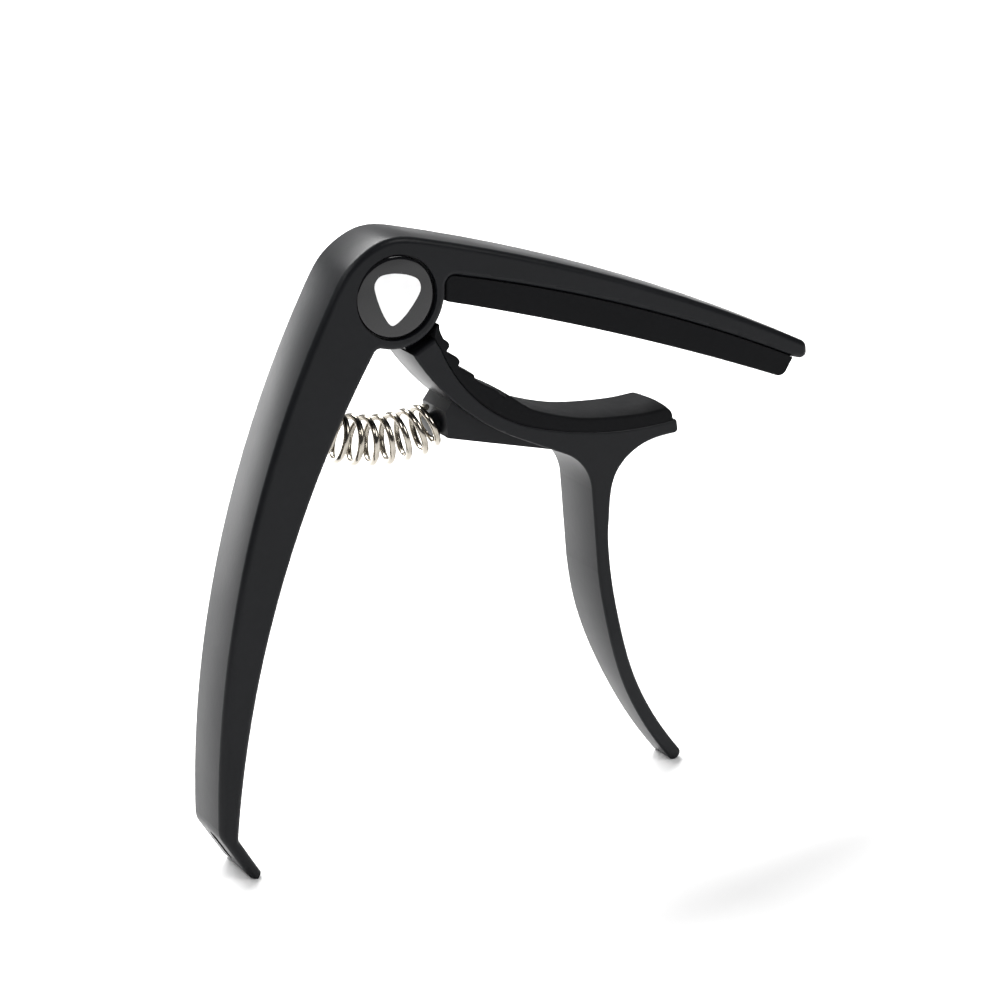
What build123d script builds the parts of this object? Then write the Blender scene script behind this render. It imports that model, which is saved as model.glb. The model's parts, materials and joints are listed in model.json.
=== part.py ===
"""Guitar capo: a sprung clamp that presses the strings onto the fingerboard.

The capo stands on the tips of its handle and its trigger, with the width along Y and the arm
pointing along +X. Profiles are drawn on a plane whose origin is the pivot, with u along X and
v along Z, and are extruded to both sides of the middle plane. Lengths are in millimetres.
"""

import os
from math import cos, pi, radians, sin

from build123d import *

os.makedirs("parts", exist_ok=True)

# Driving dimensions
WIDTH = 12.4
PIVOT_X = -17.6
PIVOT_Z = 92.18
EDGE_RADIUS = 1.0
LEVER_EDGE_RADIUS = 0.45

# Hinge
EAR_RADIUS = 8.6
EAR_THICKNESS = 3.0
KNUCKLE_RADIUS = 7.0
NECK_WIDTH = 4.2
NECK_ANGLE = -65.5
NECK_REACH = 12.0
STOP_GAP = 0.25
LEVER_TRAVEL = 20.0
SLOT_RADIUS = 7.4
WASHER_THICKNESS = 0.3
RUNNING_GAP = 0.04
BARREL_RADIUS = 2.5
THREAD_RADIUS = 1.5
FLANGE_RADIUS = 4.4
FLANGE_THICKNESS = 0.7
THREAD_DEPTH = 6.0
DRIVER_SLOT = 0.9
WASHER_RADIUS = 6.4

# Badges
BADGE_RADIUS = 6.75
BADGE_GAP = 0.3
BADGE_DEPTH = 1.1
DISC_THICKNESS = 0.45
INLAY_DEPTH = 0.15
DOME_RIM = 0.12
DOME_RISE = 0.38
PICK_WIDTH = 8.4
PICK_TOP = 3.9
PICK_SHOULDER = 2.3
PICK_FLANK = (3.0, -1.2)
PICK_TIP = -4.6
PICK_ROTATION = -14.0

# Arm and handle of the frame, about the pivot
ARM_TOP_START = (4.8, 8.9)
CROWN = [(-1.6, 9.5), (-6.6, 7.1)]
HANDLE_BACK_TOP = (-11.0, 1.8)
ARM_TOP_MIDDLE = (39.8, -4.3)
ARM_TIP_TOP = (74.45, -22.1)
ARM_TIP_BOTTOM = (74.4, -25.2)
PAD_LINE_END = (71.6, -24.2)
PAD_LINE_MIDDLE = (39.5, -8.75)
PAD_LINE_START = (8.95, 2.05)
PAD_CORNER_RADIUS = 1.5
EAR_JOIN = [(8.65, -1.5), (8.0, -2.9)]
HANDLE_BACK_MIDDLE = (-28.7, -34.3)
HANDLE_BACK_BEND = (-39.4, -83.5)
HANDLE_FRONT_TOP = (-3.3, -6.7)
HANDLE_FRONT_MIDDLE = (-23.6, -42.3)
HANDLE_FRONT_BEND = (-36.15, -84.85)
TIP_BACK_ANGLE = -62.0
TIP_FRONT_ANGLE = -63.0
TIP_REACH = 8.6
TIP_END = [(-35.6, -90.8), (-34.75, -91.85), (-33.75, -92.18), (-32.6, -91.0)]
TIP_TAPER_START = -50.0
TIP_WIDTH = 11.4
TIP_SLOT_WIDTH = 2.8
TIP_SLOT_LENGTH = 6.2
TIP_SLOT_PLACE = 4.3

# Pads
STRING_PAD_LEFT = (8.6, -2.3)
STRING_PAD_MIDDLE = (38.4, -13.45)
STRING_PAD_RIGHT = (69.4, -27.3)
STRING_KEY = [(15.0, 1.0), (39.5, -7.6), (65.0, -19.2)]
NECK_PAD_END = (48.1, -28.1)
NECK_PAD_CURVE = [(18.2, -20.3), (23.6, -23.9), (31.3, -26.6), (40.8, -28.1)]
NECK_PAD_LIP = [(6.05, -8.1), (5.8, -6.9), (6.3, -6.35), (6.75, -5.8), (7.05, -5.65), (7.1, -6.9)]
NECK_PAD_RIBS = [
    (7.6, -8.4),
    (8.35, -9.15),
    (8.4, -9.75),
    (7.95, -10.6),
    (9.6, -11.95),
    (10.05, -12.8),
    (9.8, -13.45),
    (12.4, -15.5),
    (12.6, -16.2),
    (15.5, -18.25),
    (16.3, -18.9),
    (17.4, -20.1),
]
NECK_KEY = [(9.0, -16.6), (14.0, -22.2), (22.2, -27.2), (46.0, -31.6)]
KEY_WIDTH = 4.0
KEY_GAP = 0.05
KEY_OFFSET = (1.4, 2.0)
PAD_EDGE_RADIUS = 0.35

# Jaw and trigger of the lever
SHOULDER_LEFT = (2.0, -10.0)
SHOULDER_RIGHT = (6.0, -8.1)
SEAT_START = (6.9, -9.8)
SEAT_MIDDLE = (11.5, -18.3)
SEAT_TURN = (22.5, -26.3)
SEAT_END = (48.7, -30.3)
JAW_TIP = (48.8, -32.7)
JAW_FRONT = [(41.0, -33.8), (36.6, -37.6), (34.9, -44.5)]
JAW_BACK_MIDDLE = (8.6, -19.3)
JAW_BACK_END = (20.4, -28.2)
CROTCH = (32.05, -34.5)
TRIGGER_CENTRE = (102.7, -51.5)
TRIGGER_RADIUS = 68.3
TRIGGER_THICKNESS = 2.4
TRIGGER_START = 182.0
TRIGGER_END = 215.6
TRIGGER_CROTCH_RADIUS = 8.0
TRIGGER_TAPER_START = -60.0
TRIGGER_TIP_WIDTH = 6.4
TRIGGER_WAIST = (4.3, -75.0)
GUSSET_WIDTH = 8.8
GUSSET = [(8.9, -19.3), (7.45, -21.0), (7.5, -25.5), (26.5, -31.5), (27.0, -30.5), (16.0, -23.5)]

# Spring, wound along an arc about the pivot
SPRING_ARC_RADIUS = 24.8
SPRING_OUTER_RADIUS = 4.25
WIRE_RADIUS = 0.53
SPRING_TURNS = 8.5
SPRING_START = -122.3
SPRING_END = -73.8
CLOSED_PITCH = 0.55
END_TAPER = 0.75
END_TURNS = 1.5
COIL_POINTS = 12
POCKET_RADIUS = 4.55
POCKET_FLOOR = -123.7
SEAT_ANGLE = -72.3
NUB_RADIUS = 1.8
NUB_LENGTH = 1.7

side = Plane(origin=(PIVOT_X, 0, PIVOT_Z), x_dir=(1, 0, 0), z_dir=(0, -1, 0))
far_side = Plane(origin=(PIVOT_X, 0, PIVOT_Z), x_dir=(-1, 0, 0), z_dir=(0, 1, 0))
front = Plane(origin=(0, 0, PIVOT_Z), x_dir=(0, 1, 0), z_dir=(1, 0, 0))
REACH = 90.0
SLOT_HALF = WIDTH / 2 - EAR_THICKNESS
KNUCKLE_HALF = SLOT_HALF - WASHER_THICKNESS - RUNNING_GAP
RECESS_FLOOR = WIDTH / 2 - BADGE_DEPTH


def polar(radius, angle, centre=(0.0, 0.0)):
    """The point at an angle in degrees on a circle about a centre."""
    turn = radians(angle)
    return (centre[0] + radius * cos(turn), centre[1] + radius * sin(turn))


def beyond(point, angle, distance):
    """The point a distance away from a point, in the direction of an angle in degrees."""
    return polar(distance, angle, point)


def side_edges(part, width, taper_start):
    """The edges round both sides of a casting, without those across it where its taper starts."""
    inside = width / 2 - 0.3
    return part.edges().filter_by(
        lambda edge: min(abs((edge @ 0).Y), abs((edge @ 1).Y), abs(edge.center().Y)) > inside
        and abs(edge.center().Z - PIVOT_Z - taper_start) > 0.01
    )


def in_space(point):
    """A point of the side plane as a point of the whole capo, in the middle plane."""
    return side.from_local_coords((*point, 0))


def facing(point, angle):
    """The plane through a point of the side plane that faces along an angle in that plane."""
    turn = radians(angle)
    return Plane(origin=in_space(point), x_dir=(0, 1, 0), z_dir=(cos(turn), 0, sin(turn)))


def flank(angle, distance, length):
    """Both ends of a line parallel to the direction of an angle, beside the pivot."""
    start = polar(distance, angle + 90)
    return start, beyond(start, angle, length)


def string_key(depth):
    """The section of the rib that keys the string pad into the arm."""
    with BuildSketch(side) as section:
        with BuildLine():
            top = ThreePointArc(*STRING_KEY)
            Polyline(top @ 1, top @ 1 - (0, depth), top @ 0 - (0, depth), top @ 0)
        make_face()
    return section.sketch


def neck_key():
    """The section of the rib that keys the neck pad into the jaw."""
    foot = [Vector(*point) for point in NECK_KEY]
    with BuildSketch(side) as section:
        with BuildLine():
            for row in (foot, [point + KEY_OFFSET for point in foot]):
                bend = ThreePointArc(*row[:3])
                TangentArc(row[2], row[3], tangent=bend % 1)
            for point in (foot[0], foot[3]):
                Line(point, point + KEY_OFFSET)
        make_face()
    return section.sketch


# Frame ---------------------------------------------------------------------------------------

tip_back = beyond(HANDLE_BACK_BEND, TIP_BACK_ANGLE, TIP_REACH + 1.0)
tip_front = beyond(HANDLE_FRONT_BEND, TIP_FRONT_ANGLE, TIP_REACH)

with BuildPart() as frame:
    with BuildSketch(side) as frame_profile:
        with BuildLine():
            arm_top = ThreePointArc(ARM_TOP_START, ARM_TOP_MIDDLE, ARM_TIP_TOP)
            Polyline(ARM_TIP_TOP, ARM_TIP_BOTTOM, PAD_LINE_END)
            ThreePointArc(PAD_LINE_END, PAD_LINE_MIDDLE, PAD_LINE_START)
            Polyline(PAD_LINE_START, *EAR_JOIN, (4.0, -3.0), HANDLE_FRONT_TOP)
            ThreePointArc(HANDLE_FRONT_TOP, HANDLE_FRONT_MIDDLE, HANDLE_FRONT_BEND)
            Polyline(HANDLE_FRONT_BEND, tip_front, tip_back, HANDLE_BACK_BEND)
            back = ThreePointArc(HANDLE_BACK_BEND, HANDLE_BACK_MIDDLE, HANDLE_BACK_TOP)
            Spline(arm_top @ 0, *CROWN, back @ 1, tangents=(-(arm_top % 0), -(back % 1)))
        make_face()
        Circle(EAR_RADIUS)
        for corner, radius in [
            (ARM_TIP_TOP, 1.4),
            (ARM_TIP_BOTTOM, 1.1),
            (PAD_LINE_START, PAD_CORNER_RADIUS),
            (polar(EAR_RADIUS, -117), 1.2),
            (HANDLE_FRONT_BEND, 1.5),
            (HANDLE_BACK_BEND, 3.5),
        ]:
            fillet(frame_profile.vertices().sort_by_distance(corner)[0], radius)
    extrude(amount=WIDTH / 2, both=True)

    # Groove that keys the string pad
    extrude(string_key(4.0), amount=KEY_WIDTH / 2 + KEY_GAP, both=True, mode=Mode.SUBTRACT)

    # The handle narrows towards its tip
    with BuildSketch(front):
        with BuildLine():
            Polyline((0, 15), (WIDTH / 2, 15), (WIDTH / 2, TIP_TAPER_START))
            below = (TIP_WIDTH / 2, -PIVOT_Z - 8)
            TangentArc((WIDTH / 2, TIP_TAPER_START), below, tangent=(0, -1))
            Polyline(below, (0, -PIVOT_Z - 8), (0, 15))
        make_face()
        mirror(about=Plane.YZ)
    extrude(amount=REACH, both=True, mode=Mode.INTERSECT)

    # Rounded edges all round the casting, except along the pad line
    edges = side_edges(frame, TIP_WIDTH, TIP_TAPER_START)
    pad_line = edges.sort_by_distance(in_space(PAD_LINE_MIDDLE))[:2]
    tip_ends = edges.sort_by(Axis.Z)[:2]
    fillet([edge for edge in edges if edge not in pad_line + tip_ends], EDGE_RADIUS)

    # The tip's end, cut to a blunt nose
    with BuildSketch(side):
        far_end = [beyond(TIP_END[-1], -20, 6), (TIP_END[-1][0], -105), beyond(TIP_END[0], -160, 6)]
        Polygon(*TIP_END, *far_end, align=None)
    extrude(amount=WIDTH, both=True, mode=Mode.SUBTRACT)

    # Slot for the knuckle, open as far as the neck of the lever swings
    with BuildSketch(side):
        Circle(SLOT_RADIUS)
        stop = flank(NECK_ANGLE, NECK_WIDTH / 2 + STOP_GAP, NECK_REACH)
        swung = flank(NECK_ANGLE - LEVER_TRAVEL, -NECK_WIDTH / 2 - 2 * STOP_GAP, NECK_REACH)
        Polygon(*stop, swung[1], swung[0], align=None)
    extrude(amount=SLOT_HALF, both=True, mode=Mode.SUBTRACT)

    # Badge recesses, flange pockets and the pivot bore
    for face in (side, far_side):
        with BuildSketch(face.offset(RECESS_FLOOR)):
            Circle(BADGE_RADIUS + BADGE_GAP)
        extrude(amount=BADGE_DEPTH, mode=Mode.SUBTRACT)
        with BuildSketch(face.offset(RECESS_FLOOR - FLANGE_THICKNESS)):
            Circle(FLANGE_RADIUS + RUNNING_GAP)
        extrude(amount=FLANGE_THICKNESS, mode=Mode.SUBTRACT)
    with BuildSketch(side):
        Circle(BARREL_RADIUS + RUNNING_GAP)
    extrude(amount=WIDTH / 2, both=True, mode=Mode.SUBTRACT)

    # Pocket for the spring and slot in the bent tip
    with BuildSketch(facing(polar(SPRING_ARC_RADIUS, POCKET_FLOOR), POCKET_FLOOR + 90)):
        Circle(POCKET_RADIUS)
    extrude(amount=6, mode=Mode.SUBTRACT)
    slot_middle = beyond(HANDLE_BACK_BEND, TIP_BACK_ANGLE, TIP_SLOT_PLACE)
    with BuildSketch(facing(slot_middle, TIP_BACK_ANGLE - 90)):
        SlotOverall(TIP_SLOT_LENGTH, TIP_SLOT_WIDTH, rotation=90)
    extrude(amount=6, both=True, mode=Mode.SUBTRACT)
frame.part.label = "frame"
export_step(frame.part, "parts/frame.step")

# Lever ---------------------------------------------------------------------------------------

trigger_back = TRIGGER_RADIUS + TRIGGER_THICKNESS
trigger_mid = (TRIGGER_START + TRIGGER_END) / 2
trigger_top = polar(TRIGGER_RADIUS, TRIGGER_START, TRIGGER_CENTRE)
trigger_tip = polar(TRIGGER_RADIUS, TRIGGER_END, TRIGGER_CENTRE)
trigger_heel = polar(trigger_back, TRIGGER_END, TRIGGER_CENTRE)
trigger_root = polar(trigger_back, TRIGGER_START, TRIGGER_CENTRE)

with BuildPart() as lever:
    with BuildSketch(side) as lever_profile:
        with BuildLine():
            Polyline(SHOULDER_LEFT, SHOULDER_RIGHT, SEAT_START)
            seat = ThreePointArc(SEAT_START, SEAT_MIDDLE, SEAT_TURN)
            TangentArc(SEAT_TURN, SEAT_END, tangent=seat % 1)
            Line(SEAT_END, JAW_TIP)
            Spline(JAW_TIP, *JAW_FRONT, trigger_top, tangents=((-1, 0.02), (0.03, -1)))
            ThreePointArc(trigger_top, polar(TRIGGER_RADIUS, trigger_mid, TRIGGER_CENTRE), trigger_tip)
            Line(trigger_tip, trigger_heel)
            ThreePointArc(trigger_heel, polar(trigger_back, trigger_mid, TRIGGER_CENTRE), trigger_root)
            Polyline(trigger_root, CROTCH, JAW_BACK_END)
            ThreePointArc(JAW_BACK_END, JAW_BACK_MIDDLE, SHOULDER_LEFT)
        make_face()
        for corner, radius in [
            (CROTCH, TRIGGER_CROTCH_RADIUS),
            (JAW_TIP, 0.7),
            (SEAT_END, 0.5),
            (trigger_tip, 1.1),
            (trigger_heel, 1.1),
        ]:
            fillet(lever_profile.vertices().sort_by_distance(corner)[0], radius)
    extrude(amount=WIDTH / 2, both=True)

    # The trigger narrows towards its rounded tip
    with BuildSketch(front) as trigger_front:
        with BuildLine():
            Polyline((0, 15), (WIDTH / 2, 15), (WIDTH / 2, TRIGGER_TAPER_START))
            below = (TRIGGER_TIP_WIDTH / 2, -PIVOT_Z - 1)
            start = (WIDTH / 2, TRIGGER_TAPER_START)
            Spline(start, TRIGGER_WAIST, below, tangents=((0, -1), (0, -1)))
            Polyline(below, (0, -PIVOT_Z - 1), (0, 15))
        make_face()
        mirror(about=Plane.YZ)
    extrude(amount=REACH, both=True, mode=Mode.INTERSECT)

    # Rounded edges
    fillet(side_edges(lever, TRIGGER_TIP_WIDTH, TRIGGER_TAPER_START), LEVER_EDGE_RADIUS)

    # Spring seat under the jaw, with the nub that centres the spring
    with BuildSketch(side):
        Polygon(*GUSSET, align=None)
    extrude(amount=GUSSET_WIDTH / 2, both=True)
    with BuildSketch(facing(polar(SPRING_ARC_RADIUS, SEAT_ANGLE), SEAT_ANGLE - 90).offset(-2)):
        Circle(NUB_RADIUS)
    extrude(amount=NUB_LENGTH + 2)

    # Knuckle between the ears, its neck and its bore
    with BuildSketch(side):
        Circle(KNUCKLE_RADIUS)
        left = flank(NECK_ANGLE, -NECK_WIDTH / 2, NECK_REACH)
        right = flank(NECK_ANGLE, NECK_WIDTH / 2, NECK_REACH)
        Polygon(*left, right[1], right[0], align=None)
    extrude(amount=KNUCKLE_HALF, both=True)
    with BuildSketch(side):
        Circle(BARREL_RADIUS + RUNNING_GAP)
    extrude(amount=WIDTH / 2, both=True, mode=Mode.SUBTRACT)

    # Groove that keys the neck pad
    extrude(neck_key(), amount=KEY_WIDTH / 2 + KEY_GAP, both=True, mode=Mode.SUBTRACT)
lever.part.label = "lever"
export_step(lever.part, "parts/lever.step")

# Pads ----------------------------------------------------------------------------------------

with BuildPart() as string_pad:
    with BuildSketch(side) as string_profile:
        with BuildLine():
            ThreePointArc(PAD_LINE_END, PAD_LINE_MIDDLE, PAD_LINE_START)
            Line(PAD_LINE_START, STRING_PAD_LEFT)
            ThreePointArc(STRING_PAD_LEFT, STRING_PAD_MIDDLE, STRING_PAD_RIGHT)
            Line(STRING_PAD_RIGHT, PAD_LINE_END)
        make_face()
        for corner, radius in [(PAD_LINE_START, PAD_CORNER_RADIUS), (STRING_PAD_RIGHT, 1.3)]:
            fillet(string_profile.vertices().sort_by_distance(corner)[0], radius)
    extrude(amount=WIDTH / 2, both=True)
    fillet(string_pad.edges(), PAD_EDGE_RADIUS)
    extrude(string_key(3.0), amount=KEY_WIDTH / 2, both=True)
string_pad.part.label = "string_pad"
export_step(string_pad.part, "parts/string_pad.step")

with BuildPart() as neck_pad:
    with BuildSketch(side) as neck_profile:
        with BuildLine():
            seat = ThreePointArc(SEAT_START, SEAT_MIDDLE, SEAT_TURN)
            TangentArc(SEAT_TURN, SEAT_END, tangent=seat % 1)
            Line(SEAT_END, NECK_PAD_END)
            Spline(NECK_PAD_END, *reversed(NECK_PAD_CURVE))
            ridge = [*NECK_PAD_LIP, *NECK_PAD_RIBS]
            Polyline(NECK_PAD_CURVE[0], *reversed(ridge), SEAT_START)
        make_face()
        fillet(neck_profile.vertices().sort_by_distance(NECK_PAD_END)[0], 1.0)
    extrude(amount=WIDTH / 2, both=True)
    extrude(neck_key(), amount=KEY_WIDTH / 2, both=True)
neck_pad.part.label = "neck_pad"
export_step(neck_pad.part, "parts/neck_pad.step")

# Pivot ---------------------------------------------------------------------------------------

near_floor = side.offset(RECESS_FLOOR - FLANGE_THICKNESS)
far_floor = far_side.offset(RECESS_FLOOR - FLANGE_THICKNESS)
barrel_length = 2 * (RECESS_FLOOR - FLANGE_THICKNESS) - 2 * RUNNING_GAP

with BuildPart() as pivot_barrel:
    with BuildSketch(near_floor):
        Circle(FLANGE_RADIUS)
    extrude(amount=FLANGE_THICKNESS)
    with BuildSketch(near_floor):
        Circle(BARREL_RADIUS)
    extrude(amount=-barrel_length)
    with BuildSketch(far_floor.offset(1)):
        Circle(THREAD_RADIUS + RUNNING_GAP)
    extrude(amount=-THREAD_DEPTH - 1.5, mode=Mode.SUBTRACT)
    with BuildSketch(side.offset(RECESS_FLOOR)):
        Rectangle(2 * FLANGE_RADIUS, DRIVER_SLOT)
    extrude(amount=-FLANGE_THICKNESS / 2, mode=Mode.SUBTRACT)
pivot_barrel.part.label = "pivot_barrel"
export_step(pivot_barrel.part, "parts/pivot_barrel.step")

with BuildPart() as pivot_screw:
    with BuildSketch(far_floor):
        Circle(FLANGE_RADIUS)
    extrude(amount=FLANGE_THICKNESS)
    with BuildSketch(far_floor):
        Circle(THREAD_RADIUS)
    extrude(amount=-THREAD_DEPTH)
    with BuildSketch(far_side.offset(RECESS_FLOOR)):
        Rectangle(2 * FLANGE_RADIUS, DRIVER_SLOT)
    extrude(amount=-FLANGE_THICKNESS / 2, mode=Mode.SUBTRACT)
pivot_screw.part.label = "pivot_screw"
export_step(pivot_screw.part, "parts/pivot_screw.step")

for name, face in [("washer_front", side), ("washer_rear", far_side)]:
    with BuildPart() as washer:
        with BuildSketch(face.offset(SLOT_HALF)):
            Circle(WASHER_RADIUS)
            Circle(BARREL_RADIUS + RUNNING_GAP, mode=Mode.SUBTRACT)
        extrude(amount=-WASHER_THICKNESS)
    washer.part.label = name
    export_step(washer.part, f"parts/{name}.step")

# Badges --------------------------------------------------------------------------------------


def plectrum():
    """The outline of a guitar pick with its tip down, centred on its own middle."""
    with BuildSketch() as pick:
        with BuildLine():
            left = (-PICK_WIDTH / 2, PICK_SHOULDER)
            right = (PICK_WIDTH / 2, PICK_SHOULDER)
            ThreePointArc(left, (0, PICK_TOP), right)
            ThreePointArc(right, PICK_FLANK, (0, PICK_TIP))
            ThreePointArc((0, PICK_TIP), (-PICK_FLANK[0], PICK_FLANK[1]), left)
        make_face()
        corners = pick.vertices().sort_by(Axis.Y)
        fillet(corners[0], 1.0)
        fillet(pick.vertices().group_by(Axis.Y)[-1], 1.7)
    return pick.sketch


for end, face in [("front", side), ("rear", far_side)]:
    with BuildPart() as badge_disc:
        with BuildSketch(face.offset(RECESS_FLOOR)):
            Circle(BADGE_RADIUS)
        extrude(amount=DISC_THICKNESS)
        if end == "front":
            with BuildSketch(face.offset(RECESS_FLOOR + DISC_THICKNESS)):
                add(plectrum(), rotation=PICK_ROTATION)
            extrude(amount=-INLAY_DEPTH, mode=Mode.SUBTRACT)
    badge_disc.part.label = f"badge_disc_{end}"
    export_step(badge_disc.part, f"parts/badge_disc_{end}.step")

    with BuildPart() as badge_dome:
        base = RECESS_FLOOR + DISC_THICKNESS
        rim = base + DOME_RIM
        with BuildSketch(Plane(face.origin, x_dir=face.x_dir, z_dir=face.x_dir.cross(face.z_dir))):
            with BuildLine():
                cap = ThreePointArc((-BADGE_RADIUS, rim), (0, rim + DOME_RISE), (BADGE_RADIUS, rim))
                Polyline(cap @ 1, (BADGE_RADIUS, base), (-BADGE_RADIUS, base), cap @ 0)
            make_face()
            split(bisect_by=Plane.YZ)
        revolve(axis=Axis(face.origin, face.z_dir))
    badge_dome.part.label = f"badge_dome_{end}"
    export_step(badge_dome.part, f"parts/badge_dome_{end}.step")

with BuildPart() as badge_emblem:
    with BuildSketch(side.offset(RECESS_FLOOR + DISC_THICKNESS)):
        add(plectrum(), rotation=PICK_ROTATION)
    extrude(amount=-INLAY_DEPTH)
badge_emblem.part.label = "badge_emblem"
export_step(badge_emblem.part, "parts/badge_emblem.step")

# Spring --------------------------------------------------------------------------------------


def coil(turn):
    """The middle of the wire after a number of turns: closed at both ends, narrower at the seat."""
    closed = 1.0
    slope = SPRING_TURNS / (SPRING_TURNS - 2 * closed * (1 - CLOSED_PITCH))
    if turn < closed:
        share = CLOSED_PITCH * slope * turn
    elif turn > SPRING_TURNS - closed:
        share = SPRING_TURNS - CLOSED_PITCH * slope * (SPRING_TURNS - turn)
    else:
        share = CLOSED_PITCH * slope + slope * (turn - closed)
    share = share / SPRING_TURNS
    angle = SPRING_START + (SPRING_END - SPRING_START) * share
    wind = 2 * pi * turn
    taper = END_TAPER * max(turn - SPRING_TURNS + END_TURNS, 0) / END_TURNS
    across = SPRING_OUTER_RADIUS - WIRE_RADIUS - taper
    u, v = polar(SPRING_ARC_RADIUS + across * cos(wind), angle)
    return in_space((u, v)) + Vector(0, across * sin(wind), 0)


with BuildPart() as spring:
    with BuildLine() as wire_path:
        steps = int(SPRING_TURNS * COIL_POINTS)
        Spline(*[coil(step / COIL_POINTS) for step in range(steps + 1)])
    with BuildSketch(Plane(origin=wire_path.wire() @ 0, z_dir=wire_path.wire() % 0)):
        Circle(WIRE_RADIUS)
    sweep(is_frenet=True)
spring.part.label = "spring"
export_step(spring.part, "parts/spring.step")
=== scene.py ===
"""Looks of the guitar capo: rubber pads, coil spring, badges, coating, light and camera.

Everything is in metres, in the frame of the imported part. Places come from the record's joint and
from the boxes of the nodes. Section points are written as (u, v) pairs in millimetres about the
pivot: u along X and v along Z.
"""

import cmath
import json
import math

import bmesh
import bpy
from mathutils import Matrix, Vector


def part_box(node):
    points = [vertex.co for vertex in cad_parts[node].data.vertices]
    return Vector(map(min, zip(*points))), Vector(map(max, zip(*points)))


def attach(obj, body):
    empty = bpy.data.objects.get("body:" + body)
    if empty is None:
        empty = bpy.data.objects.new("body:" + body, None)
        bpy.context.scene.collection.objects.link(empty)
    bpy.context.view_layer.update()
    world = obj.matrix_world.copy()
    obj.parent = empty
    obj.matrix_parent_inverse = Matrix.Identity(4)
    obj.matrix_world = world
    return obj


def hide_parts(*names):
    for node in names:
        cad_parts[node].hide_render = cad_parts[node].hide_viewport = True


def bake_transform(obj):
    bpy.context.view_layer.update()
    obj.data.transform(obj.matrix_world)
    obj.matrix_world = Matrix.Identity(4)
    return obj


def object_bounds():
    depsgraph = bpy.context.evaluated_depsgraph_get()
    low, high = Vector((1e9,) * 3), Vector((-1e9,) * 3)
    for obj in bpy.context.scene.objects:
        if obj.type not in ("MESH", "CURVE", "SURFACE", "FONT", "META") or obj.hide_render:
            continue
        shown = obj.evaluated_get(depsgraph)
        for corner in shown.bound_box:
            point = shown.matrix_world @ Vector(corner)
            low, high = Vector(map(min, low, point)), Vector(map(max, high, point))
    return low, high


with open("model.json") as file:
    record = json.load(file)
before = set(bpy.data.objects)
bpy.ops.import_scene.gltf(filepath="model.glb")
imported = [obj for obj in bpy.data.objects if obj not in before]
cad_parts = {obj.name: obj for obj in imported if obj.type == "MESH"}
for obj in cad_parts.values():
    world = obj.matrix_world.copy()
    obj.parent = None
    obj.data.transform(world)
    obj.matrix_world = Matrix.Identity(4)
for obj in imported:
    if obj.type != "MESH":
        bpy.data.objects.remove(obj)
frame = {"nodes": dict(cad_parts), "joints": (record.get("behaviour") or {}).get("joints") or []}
cad_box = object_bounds()

MM = 0.001
PIVOT = Vector(frame["joints"][0]["pos_m"])
nodes = frame["nodes"]


# Materials -----------------------------------------------------------------------------------

CROWN = 11.0  # how fast the outer faces of the castings fall away from their middle, per metre
GLOW_START = 0.45  # metres from the middle of the floor
GLOW_FULL = 1.1
GLOW_STRENGTH = 0.8


class Nodes:
    """A material's node tree with short calls to add and link nodes."""

    def __init__(self, name):
        self.material = bpy.data.materials.new(name)
        self.material.use_nodes = True
        self.tree = self.material.node_tree
        self.shader = self.tree.nodes["Principled BSDF"]
        self.place = self.add("ShaderNodeTexCoord").outputs["Object"]

    def add(self, kind, **settings):
        node = self.tree.nodes.new(kind)
        for name, value in settings.items():
            setattr(node, name, value)
        return node

    def link(self, source, target):
        self.tree.links.new(source, target)

    def noise(self, scale, detail=4.0, roughness=0.55, stretch=None):
        """Noise with features of about 1 / scale metres."""
        node = self.add("ShaderNodeTexNoise")
        node.inputs["Scale"].default_value = scale
        node.inputs["Detail"].default_value = detail
        node.inputs["Roughness"].default_value = roughness
        source = self.place
        if stretch:
            mapping = self.add("ShaderNodeMapping")
            mapping.inputs["Scale"].default_value = stretch
            self.link(source, mapping.inputs["Vector"])
            source = mapping.outputs["Vector"]
        self.link(source, node.inputs["Vector"])
        return node.outputs["Fac"]

    def ramp(self, source, low, high, start, end):
        """A source's share between low and high, spread over start to end."""
        node = self.add("ShaderNodeMapRange")
        node.inputs["From Min"].default_value = low
        node.inputs["From Max"].default_value = high
        node.inputs["To Min"].default_value = start
        node.inputs["To Max"].default_value = end
        self.link(source, node.inputs["Value"])
        return node.outputs["Result"]

    def mix(self, share, first, second):
        """A colour between two, by a share; each is a colour or an output."""
        node = self.add("ShaderNodeMix", data_type="RGBA")
        for socket, value in zip([s for s in node.inputs if s.type == "RGBA"], (first, second)):
            if isinstance(value, bpy.types.NodeSocket):
                self.link(value, socket)
            else:
                socket.default_value = (*value, 1)
        self.link(share, node.inputs["Factor"])
        return [s for s in node.outputs if s.type == "RGBA"][0]

    def bump(self, source, strength, distance, below=None):
        node = self.add("ShaderNodeBump")
        node.inputs["Strength"].default_value = strength
        node.inputs["Distance"].default_value = distance
        self.link(source, node.inputs["Height"])
        if below is not None:
            self.link(below, node.inputs["Normal"])
        return node.outputs["Normal"]

    def set(self, **values):
        """Sets or links the shader's inputs, by names with _ for a space."""
        for name, value in values.items():
            socket = self.shader.inputs[name.replace("_", " ")]
            if isinstance(value, bpy.types.NodeSocket):
                self.link(value, socket)
            elif socket.type == "RGBA":
                socket.default_value = (*value, 1)
            else:
                socket.default_value = value
        return self.material


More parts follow.
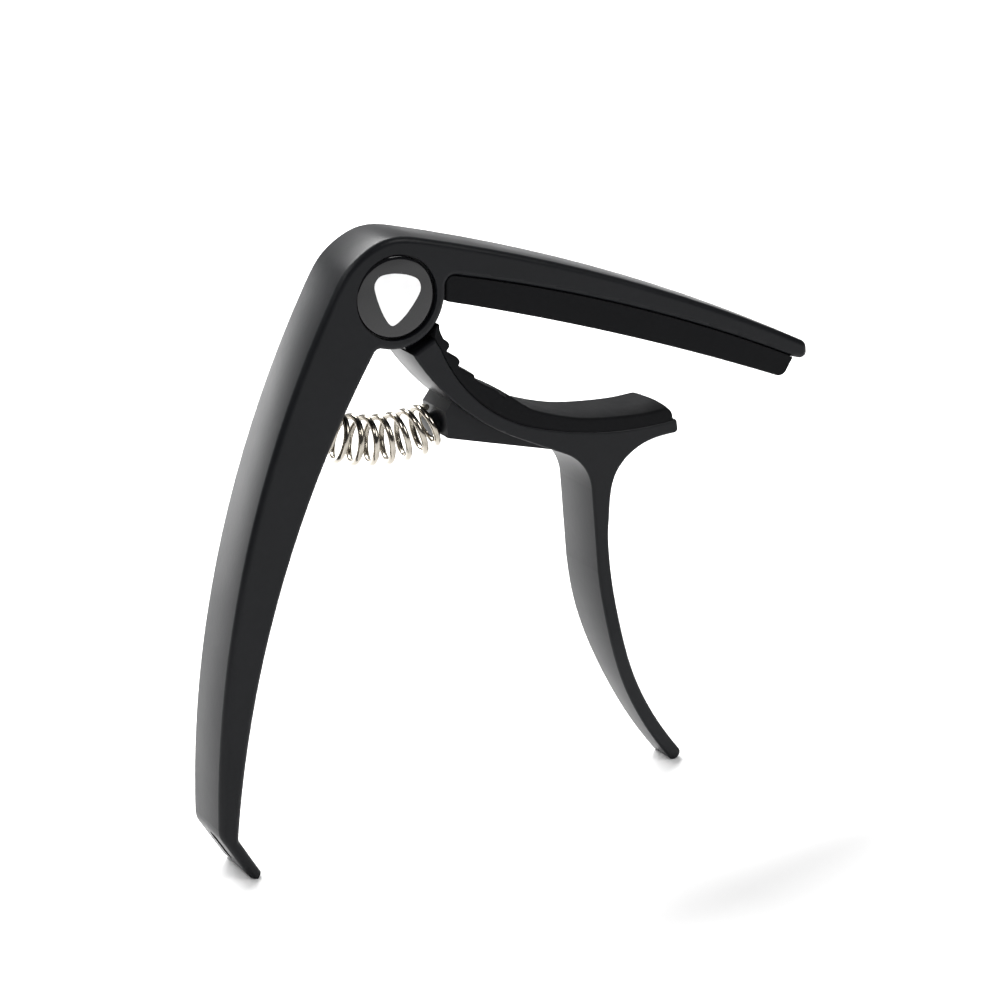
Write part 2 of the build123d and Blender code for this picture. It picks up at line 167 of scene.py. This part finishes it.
def coated_metal():
    """Satin black powder coat on a casting whose outer faces are slightly crowned across."""
    n = Nodes("black_coat")
    across = n.add("ShaderNodeSeparateXYZ")
    n.link(n.place, across.inputs["Vector"])
    square = n.add("ShaderNodeMath", operation="MULTIPLY")
    n.link(across.outputs["Y"], square.inputs[0])
    n.link(across.outputs["Y"], square.inputs[1])
    crown = n.ramp(square.outputs["Value"], 0, 1, 0, -CROWN)
    peel = n.noise(900, 2)
    grain = n.noise(3600, 2, 0.7)
    cloud = n.noise(70, 5)
    base = n.mix(n.ramp(cloud, 0.3, 0.7, 0, 1), (0.0036, 0.0041, 0.0052), (0.0058, 0.0063, 0.0078))
    normal = n.bump(crown, 1, 1)
    normal = n.bump(grain, 0.14, 0.05 * MM, n.bump(peel, 0.08, 0.12 * MM, normal))
    return n.set(
        Base_Color=base,
        Roughness=n.ramp(cloud, 0.3, 0.7, 0.33, 0.40),
        Normal=normal,
        Specular_IOR_Level=0.16,
    )


def rubber():
    """Matt moulded rubber with a fine texture and pale dust scattered in flecks."""
    n = Nodes("black_rubber")
    fine = n.noise(4200, 3, 0.65)
    mould = n.noise(240, 4)
    dust = n.ramp(n.noise(1500, 6, 0.7), 0.66, 0.78, 0, 0.35)
    base = n.mix(n.ramp(mould, 0.3, 0.7, 0, 1), (0.0032, 0.0034, 0.0040), (0.0056, 0.0058, 0.0066))
    return n.set(
        Base_Color=n.mix(dust, base, (0.07, 0.07, 0.07)),
        Roughness=n.ramp(mould, 0.3, 0.7, 0.72, 0.86),
        Normal=n.bump(fine, 0.25, 0.06 * MM, n.bump(mould, 0.12, 0.25 * MM)),
        Specular_IOR_Level=0.11,
    )


def nickel():
    """Bright nickel-plated spring wire with faint draw marks."""
    n = Nodes("nickel_wire")
    streak = n.noise(1500, 3, stretch=(0.25, 1.6, 0.25))
    tint = n.mix(n.ramp(n.noise(160, 3), 0.3, 0.7, 0, 1), (0.33, 0.30, 0.25), (0.44, 0.41, 0.36))
    return n.set(
        Base_Color=tint,
        Metallic=1.0,
        Roughness=n.ramp(streak, 0.3, 0.7, 0.12, 0.24),
        Normal=n.bump(streak, 0.05, 0.04 * MM),
    )


def turned_steel():
    """Plain turned steel of the pivot's heads."""
    n = Nodes("turned_steel")
    streak = n.noise(2600, 2, stretch=(1, 0.15, 1))
    return n.set(
        Base_Color=n.mix(n.ramp(streak, 0.3, 0.7, 0, 1), (0.50, 0.49, 0.48), (0.62, 0.61, 0.60)),
        Metallic=1.0,
        Roughness=n.ramp(streak, 0.3, 0.7, 0.24, 0.38),
        Normal=n.bump(streak, 0.08, 0.03 * MM),
    )


def nylon():
    """Natural nylon of the washers."""
    n = Nodes("washer_nylon")
    cloud = n.noise(420, 4)
    return n.set(
        Base_Color=n.mix(n.ramp(cloud, 0.3, 0.7, 0, 1), (0.66, 0.64, 0.58), (0.74, 0.72, 0.67)),
        Roughness=n.ramp(cloud, 0.3, 0.7, 0.42, 0.55),
        Normal=n.bump(cloud, 0.06, 0.05 * MM),
        Subsurface_Weight=0.15,
        Subsurface_Scale=0.6 * MM,
    )


def gloss(name, dark, light, bottom=0.03, top=0.07):
    """Smooth gloss enamel between two shades, with a hint of unevenness."""
    n = Nodes(name)
    cloud = n.noise(260, 3)
    return n.set(
        Base_Color=n.mix(n.ramp(cloud, 0.3, 0.7, 0, 1), dark, light),
        Roughness=n.ramp(cloud, 0.3, 0.7, bottom, top),
        Normal=n.bump(n.noise(520, 2), 0.03, 0.08 * MM),
    )


def floor_paint():
    """Plain pale studio floor that glows softly far out, so that it stays white to its edge."""
    n = Nodes("studio_floor")
    away = n.add("ShaderNodeVectorMath", operation="LENGTH")
    n.link(n.place, away.inputs[0])
    return n.set(
        Emission_Color=(1, 1, 1),
        Emission_Strength=n.ramp(away.outputs["Value"], GLOW_START, GLOW_FULL, 0, GLOW_STRENGTH),
        Base_Color=n.mix(n.ramp(n.noise(6, 3), 0.3, 0.7, 0, 1), (0.90, 0.90, 0.90), (0.93, 0.93, 0.93)),
        Roughness=0.8,
        Specular_IOR_Level=0.2,
    )


black_coat = coated_metal()
black_rubber = rubber()
nickel_wire = nickel()
steel = turned_steel()
washer_nylon = nylon()
badge_black = gloss("badge_black", (0.003, 0.003, 0.004), (0.005, 0.005, 0.006))
badge_white = gloss("badge_white", (0.88, 0.88, 0.88), (0.93, 0.93, 0.93), 0.12, 0.2)

for name, material in {
    "frame": black_coat,
    "lever": black_coat,
    "string_pad": black_rubber,
    "neck_pad": black_rubber,
    "spring": nickel_wire,
    "pivot_barrel": steel,
    "pivot_screw": steel,
    "washer_front": washer_nylon,
    "washer_rear": washer_nylon,
    "badge_disc_front": badge_black,
    "badge_disc_rear": badge_black,
    "badge_emblem": badge_white,
    "badge_dome_front": badge_black,
    "badge_dome_rear": badge_black,
}.items():
    nodes[name].data.materials.clear()
    nodes[name].data.materials.append(material)


# Shapes --------------------------------------------------------------------------------------

SHARP_ANGLE = math.radians(38)


def at(point, y):
    """A place from a complex u + v j in millimetres about the pivot, and a y in millimetres."""
    return PIVOT + Vector((point.real, y, point.imag)) * MM


def arc(start, middle, end):
    """A function of 0 to 1 along the arc through three points."""
    turn = (end - start) / (middle - start)
    centre = start + (middle - start) * (turn - abs(turn) ** 2) / (2j * turn.imag)
    sweep = cmath.phase((end - centre) / (start - centre))
    return lambda t: centre + (start - centre) * cmath.exp(1j * sweep * t)


def tangent_arc(start, tangent, end):
    """A function of 0 to 1 along the arc from a point in a direction to another point."""
    lean = cmath.phase(tangent / (end - start))
    return arc(start, start + (end - start) * (0.5 + 0.5j * math.tan(lean / 2)), end)


def smooth(points, steps, closed=False):
    """Points along a smooth curve through given ones, with so many steps between two."""
    first, last = (points[-1], points[0]) if closed else (points[0], points[-1])
    row = [first, *points, last] + [points[1]] * closed
    curve = []
    for a, b, c, d in zip(row, row[1:], row[2:], row[3:]):
        for t in [k / steps for k in range(steps)]:
            bend = (2 * a - 5 * b + 4 * c - d) * t**2 + (3 * b - a - 3 * c + d) * t**3
            curve.append(b + ((c - a) * t + bend) / 2)
    return curve if closed else curve + [points[-1]]


def skin(name, rings, material):
    """A closed piece through rings of equal counts of places, filled at its first and last."""
    build = bmesh.new()
    loops = [[build.verts.new(place) for place in ring] for ring in rings]
    for one, other in zip(loops, loops[1:]):
        for k in range(len(one)):
            build.faces.new((one[k - 1], one[k], other[k], other[k - 1]))
    build.faces.new(loops[0])
    build.faces.new(loops[-1])
    bmesh.ops.recalc_face_normals(build, faces=build.faces)
    for face in build.faces:
        face.smooth = True
    for edge in build.edges:
        edge.smooth = edge.calc_face_angle() < SHARP_ANGLE
    mesh = bpy.data.meshes.new(name)
    build.to_mesh(mesh)
    build.free()
    mesh.materials.append(material)
    piece = bpy.data.objects.new(name, mesh)
    bpy.context.scene.collection.objects.link(piece)
    return piece


# Rubber pads ---------------------------------------------------------------------------------

PAD_HALF = 6.14
PAD_END_RADIUS = 0.4
BULGE_REACH = 6.0


def rounding(radius, distance):
    """How far a rounded corner lies inside the sharp one, at a distance from its end."""
    short = max(radius - distance, 0)
    return radius - math.sqrt(radius**2 - short**2) if short else 0.0


def pad(name, seat, face, corners, edge, crown, bulge=0.0):
    """A pad between its seat on the casting and its free face, each a row of points.

    The corners are the radii at the start and end of the seat, then of the face. The edge is the
    radius along the sides of the face, the crown is how much the face rises in the middle, and
    the bulge is how far its last end reaches out in the middle.
    """
    run = [0.0]
    for one, other in zip(face, face[1:]):
        run.append(run[-1] + abs(other - one))
    quarter = [math.pi / 2 * k / 6 for k in range(7)]
    rings = []
    for low, high, distance in zip(seat, face, run):
        left = run[-1] - distance
        up = (high - low) / abs(high - low)
        along = up * -1j
        foot = rounding(corners[0], distance) + rounding(corners[1], left)
        top = abs(high - low) - rounding(corners[2], distance) - rounding(corners[3], left)
        half = PAD_HALF - rounding(PAD_END_RADIUS, distance) - rounding(PAD_END_RADIUS, left)
        soft = min(edge, 0.8 * (top - foot))
        side = [(half - soft + soft * math.cos(a), top - soft + soft * math.sin(a)) for a in quarter]
        flat = [(half - soft) * (1 - k / 6) for k in range(1, 6)]
        right = [(half, foot), (half, (foot + top - soft) / 2), *side, *[(y, top) for y in flat]]
        section = right + [(0, top)] + [(-y, height) for y, height in reversed(right)]
        ring = []
        for y, height in section:
            middle = 1 - (y / PAD_HALF) ** 2
            height += crown * middle * (height > foot) * (height - foot) / (top - foot)
            shift = bulge * middle * max(1 - left / BULGE_REACH, 0) ** 2
            ring.append(at(low + up * height + along * shift, y))
        rings.append(ring)
    return skin(name, rings, black_rubber)


def nearest(points, place):
    """Where in a row of points the one nearest to a place is."""
    return min(range(len(points)), key=lambda k: abs(points[k] - place))


shares = [(1 - math.cos(math.pi * k / 150)) / 2 for k in range(151)]

string_seat = arc(8.95 + 2.05j, 39.5 - 8.75j, 71.6 - 24.2j)
string_face = arc(8.6 - 2.3j, 38.4 - 13.45j, 69.4 - 27.3j)
string_pad = pad(
    "string_pad_rubber",
    [string_seat(t) for t in shares],
    [string_face(t) for t in shares],
    corners=(1.5, 0.3, 0.35, 1.3),
    edge=0.4,
    crown=0.1,
)
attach(string_pad, "frame")
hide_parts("string_pad")

curl = arc(6.9 - 9.8j, 11.5 - 18.3j, 22.5 - 26.3j)
rest = tangent_arc(curl(1), curl(1) - curl(0.999), 48.7 - 30.3j)
lip = [6.75 - 5.8j, 6.3 - 6.35j, 5.8 - 6.9j, 6.05 - 8.1j, curl(0)]
seat_line = [a + (b - a) * k / 40 for a, b in zip(lip, lip[1:]) for k in range(40)]
seat_line += [curl(k / 500) for k in range(500)] + [rest(k / 600) for k in range(601)]
ribs = [7.0 - 5.65j, 7.02 - 6.3j, 7.15 - 7.1j, 7.6 - 8.3j]
ribs += [8.3 - 9.0j, 8.5 - 9.75j, 8.0 - 10.6j, 9.55 - 11.75j, 10.1 - 12.6j]
ribs += [9.9 - 13.4j, 11.2 - 14.5j, 12.35 - 15.3j, 12.65 - 16.15j, 14.0 - 17.3j, 15.3 - 18.1j]
ribs += [16.2 - 18.75j, 17.45 - 20.05j, 18.15 - 19.95j]
open_face = [20.8 - 22.1j, 23.6 - 23.9j, 31.3 - 26.6j, 40.8 - 28.0j, 47.0 - 28.1j]
face_end = 47.85 - 28.1j
face_line = smooth(ribs + open_face, 12) + [face_end + 0.85 * (t - 1) for t in shares[76:]]
feet = [nearest(seat_line, place) for place in face_line]
feet = [max(feet[: k + 1]) for k in range(len(feet))]
neck_pad = pad(
    "neck_pad_rubber",
    [seat_line[foot] for foot in feet],
    face_line,
    corners=(0.2, 0.2, 0.3, 1.4),
    edge=0.5,
    crown=0.15,
    bulge=0.6,
)
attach(neck_pad, "lever")
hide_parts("neck_pad")


# Spring --------------------------------------------------------------------------------------

SPRING_ARC = 24.8
SPRING_RADIUS = 3.72
WIRE_RADIUS = 0.53
TURNS = 8.5
SPRING_START = -122.3
SPRING_END = -73.8
CLOSED = 0.55
END_TAPER = 0.75
END_TURNS = 1.5
STEPS_PER_TURN = 48
WIRE_SIDES = 14


def wound(turn):
    """The share of the spring's length after a number of turns, closed up at both ends."""
    slope = TURNS / (TURNS - 2 * (1 - CLOSED))
    inner = min(max(turn, 1), TURNS - 1)
    return slope * (inner - 1 + CLOSED + CLOSED * (turn - inner)) / TURNS


def coil(turn):
    """The middle of the wire and the middle of the coil after a number of turns."""
    angle = math.radians(SPRING_START + (SPRING_END - SPRING_START) * wound(turn))
    out = cmath.exp(1j * angle)
    wind = 2 * math.pi * turn
    radius = SPRING_RADIUS - END_TAPER * max(turn - TURNS + END_TURNS, 0) / END_TURNS
    wire = at(out * (SPRING_ARC + radius * math.cos(wind)), radius * math.sin(wind))
    return wire, at(out * SPRING_ARC, 0)


angles = [2 * math.pi * k / WIRE_SIDES for k in range(WIRE_SIDES)]
rings = []
for step in range(int(STEPS_PER_TURN * TURNS) + 1):
    turn = step / STEPS_PER_TURN
    place, middle = coil(turn)
    tangent = (coil(turn + 0.01)[0] - coil(turn - 0.01)[0]).normalized()
    out = (place - middle).normalized()
    aside = tangent.cross(out).normalized()
    rings.append([place + (out * math.cos(a) + aside * math.sin(a)) * WIRE_RADIUS * MM for a in angles])
spring = skin("spring_coil", rings, nickel_wire)
ends = [cmath.rect(SPRING_ARC, math.radians(angle)) for angle in (SPRING_START, SPRING_END)]
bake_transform(spring)
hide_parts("spring")


# Badges --------------------------------------------------------------------------------------

BADGE_RADIUS = 6.75
BADGE_RIM = 0.5
BADGE_RISE = 0.43
CAP_DEPTH = 0.5
MARK_DEPTH = 0.1
MARK_LIFT = 0.02
MARK_LEAN = -14


def dome(radius):
    """How far a badge's face stands over the bottom of its recess, in millimetres."""
    return BADGE_RIM + BADGE_RISE * (1 - (radius / BADGE_RADIUS) ** 2)


def badge(name, disc, outward, outline, material, depth, lift=0.0):
    """A domed piece of an outline in the recess of a disc's node.

    The depth is how far its side reaches down, and the lift is how far its face is over the dome.
    """
    low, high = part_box(disc)
    floor = (high.y if outward < 0 else low.y) / MM
    side = [(1, 1), (1, 0.2), (0.985, 0.06)]
    top = [(1 - k / 20, 0) for k in range(1, 20)]
    rings = []
    for share, sink in side + top:
        ring = []
        for point in outline:
            place = point * share
            stand = dome(abs(place)) + lift - depth * sink
            ring.append(at(place, floor + outward * stand))
        rings.append(ring)
    return skin(name, rings, material)


circle = [cmath.rect(BADGE_RADIUS, 2 * math.pi * k / 128) for k in range(128)]
half_pick = [-4.6j, 1.55 - 3.35j, 3.1 - 0.9j, 4.05 + 1.5j, 3.45 + 3.05j, 1.8 + 3.7j, 3.85j]
pick = half_pick + [complex(-point.real, point.imag) for point in reversed(half_pick[1:-1])]
lean = cmath.exp(1j * math.radians(MARK_LEAN))
for name, disc, outward in (("front", "badge_disc_front", -1), ("rear", "badge_disc_rear", 1)):
    cap = badge(f"badge_cap_{name}", disc, outward, circle, badge_black, CAP_DEPTH)
    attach(cap, "frame")
    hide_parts(disc, f"badge_dome_{name}")
outline = [point * lean for point in smooth(pick, 12, closed=True)]
mark = badge(
    "badge_mark",
    "badge_disc_front",
    -1,
    outline,
    badge_white,
    MARK_DEPTH,
    MARK_LIFT,
)
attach(mark, "frame")
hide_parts("badge_emblem")


# Floor, light and camera ---------------------------------------------------------------------

FLOOR_START = 0.05
FLOOR_GROWTH = 1.72
FLOOR_RINGS = 9
FLOOR_SIDES = 96
CAMERA_LENS = 128.4
CAMERA_FROM_PIVOT = Vector((-0.2162, -0.5088, 0.1496))
CAMERA_ANGLES = (-26.12, 16.54, 4.94)  # azimuth, elevation and tilt, in degrees


def area_light(name, place, aim, size, watts):
    """A soft light of a size (x, y) in metres at a place, facing the point it is aimed at."""
    data = bpy.data.lights.new(name, "AREA")
    data.shape = "RECTANGLE"
    data.size, data.size_y = size
    data.energy = watts
    light = bpy.data.objects.new(name, data)
    bpy.context.scene.collection.objects.link(light)
    light.location = place
    light.visible_camera = False
    light.rotation_euler = (Vector(aim) - Vector(place)).to_track_quat("-Z", "Y").to_euler()


def studio_floor():
    """A wide plain floor, as rings that widen outwards."""
    mesh = bpy.data.meshes.new("studio_floor")
    build = bmesh.new()
    turns = [2 * math.pi * k / FLOOR_SIDES for k in range(FLOOR_SIDES)]
    loops = []
    for ring in range(FLOOR_RINGS):
        radius = FLOOR_START * FLOOR_GROWTH**ring
        loops.append([build.verts.new((radius * math.cos(a), radius * math.sin(a), 0)) for a in turns])
    build.faces.new(loops[0])
    for inner, outer in zip(loops, loops[1:]):
        for k in range(FLOOR_SIDES):
            build.faces.new((inner[k - 1], outer[k - 1], outer[k], inner[k]))
    build.to_mesh(mesh)
    build.free()
    floor = bpy.data.objects.new("studio_floor", mesh)
    bpy.context.scene.collection.objects.link(floor)
    mesh.materials.append(floor_paint())


def studio_world():
    """Soft light from all round: bright behind the object, dim in front of it."""
    world = bpy.data.worlds.new("studio")
    bpy.context.scene.world = world
    world.use_nodes = True
    tree = world.node_tree
    split = tree.nodes.new("ShaderNodeSeparateXYZ")
    tree.links.new(tree.nodes.new("ShaderNodeTexCoord").outputs["Generated"], split.inputs[0])
    back = tree.nodes.new("ShaderNodeMapRange")
    back.interpolation_type = "SMOOTHSTEP"
    for name, value in (("From Min", -0.5), ("From Max", 0.6), ("To Min", 0.12), ("To Max", 1.0)):
        back.inputs[name].default_value = value
    tree.links.new(split.outputs["Y"], back.inputs["Value"])
    tree.links.new(back.outputs["Result"], tree.nodes["Background"].inputs["Color"])
    tree.nodes["Background"].inputs["Strength"].default_value = 0.5


studio_floor()
studio_world()
bpy.context.scene.view_settings.view_transform = "Standard"

centre = (cad_box[0] + cad_box[1]) / 2
area_light("back_left", (-0.36, 1.0, 0.04), centre, (0.6, 0.3), 3.5)
area_light("overhead", (-0.1, 0.6, 0.82), (-0.03, 0.3, 0), (0.8, 0.4), 22)
area_light("front_fill", (0.42, -0.62, 0.62), (0, -0.05, 0), (0.4, 0.4), 3)
area_light("edge_light", (-0.62, -0.42, 0.8), centre, (0.25, 0.25), 3)

camera_data = bpy.data.cameras.new("camera")
camera_data.lens = CAMERA_LENS
camera_data.sensor_width = 36
camera_data.clip_start = 0.01
camera = bpy.data.objects.new("camera", camera_data)
bpy.context.scene.collection.objects.link(camera)
azimuth, elevation, tilt = (math.radians(angle) for angle in CAMERA_ANGLES)
aim = Matrix.Rotation(tilt, 4, "Y") @ Matrix.Rotation(azimuth, 4, "Z")
aim = aim @ Matrix.Rotation(math.pi / 2 - elevation, 4, "X")
camera.matrix_world = Matrix.Translation(PIVOT + CAMERA_FROM_PIVOT) @ aim
bpy.context.scene.camera = camera
